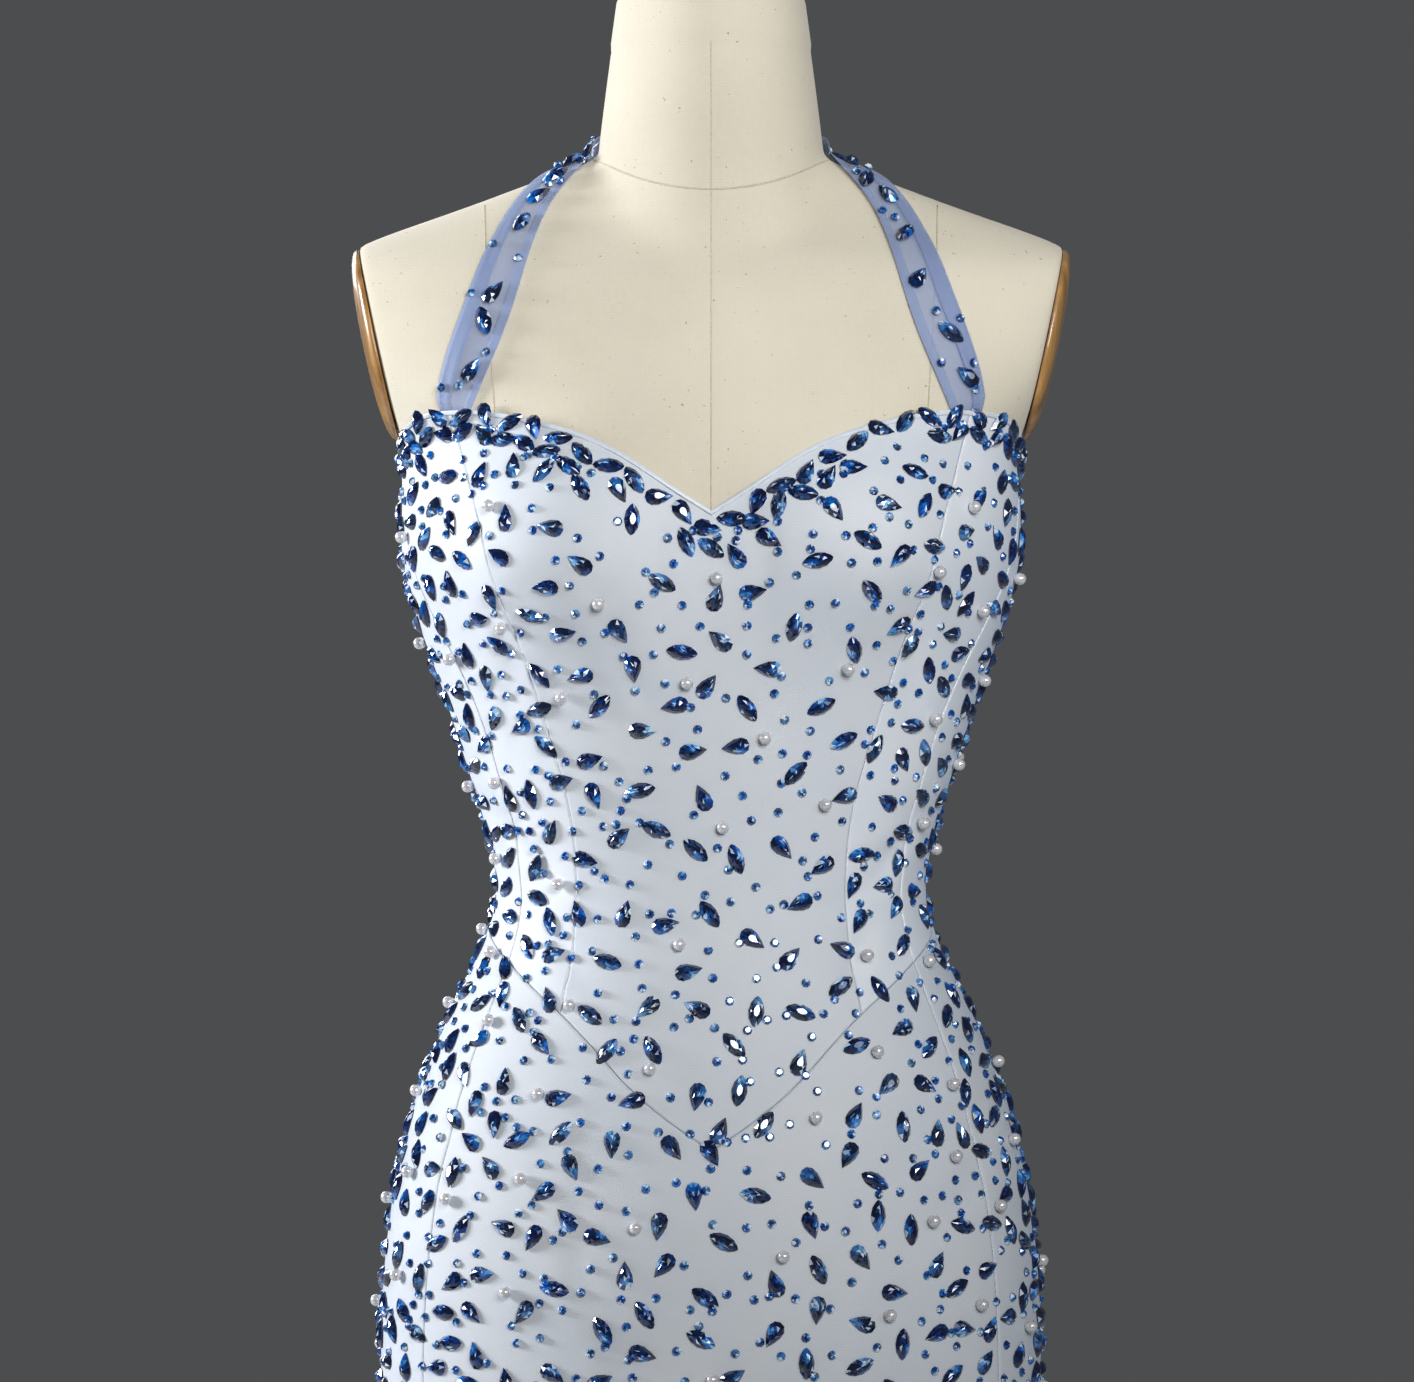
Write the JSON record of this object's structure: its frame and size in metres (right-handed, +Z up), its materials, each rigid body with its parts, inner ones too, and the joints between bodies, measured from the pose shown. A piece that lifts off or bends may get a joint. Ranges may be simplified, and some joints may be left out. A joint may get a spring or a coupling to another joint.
{
  "type": "evening dress on a dress form",
  "caption": "Full-length halter evening gown, beaded all over, with a sweetheart neckline, pointed waist seam and flared hem, on a limbless linen dress form with a pole and round base.",
  "frame": {"origin": "on the floor, under the middle of the round base", "axes": "+Z up from the floor to the top of the neck, +X to the viewer's right, the front of the gown faces -Y"},
  "size_m": [0.5256, 0.5625, 1.5505],
  "materials": {
    "satin_with_net": "ice-blue satin under a fine net, set with blue stones and pearls",
    "halter_net": "sheer blue net, folded",
    "binding_satin": "pale satin",
    "linen": "cream linen stretched over the form",
    "arm_plate_wood": "varnished",
    "steel": "brushed",
    "base_lacquer": "smooth cream lacquer",
    "blue_crystal": "faceted, foil-backed and opaque",
    "pearl": "pearly"
  },
  "bodies": {
    "root": {"bodice_front": "satin_with_net", "bodice_side_left": "satin_with_net", "bodice_side_right": "satin_with_net", "bodice_back_left": "satin_with_net", "bodice_back_right": "satin_with_net", "skirt_front": "satin_with_net", "skirt_back_left": "satin_with_net", "skirt_back_right": "satin_with_net", "top_binding": "binding_satin", "halter_strap_left": "halter_net", "halter_strap_right": "halter_net", "form_torso": "linen", "arm_plate_left": "arm_plate_wood", "arm_plate_right": "arm_plate_wood", "stand_pole": "steel", "stand_base": "base_lacquer"}
  },
  "joints": []
}
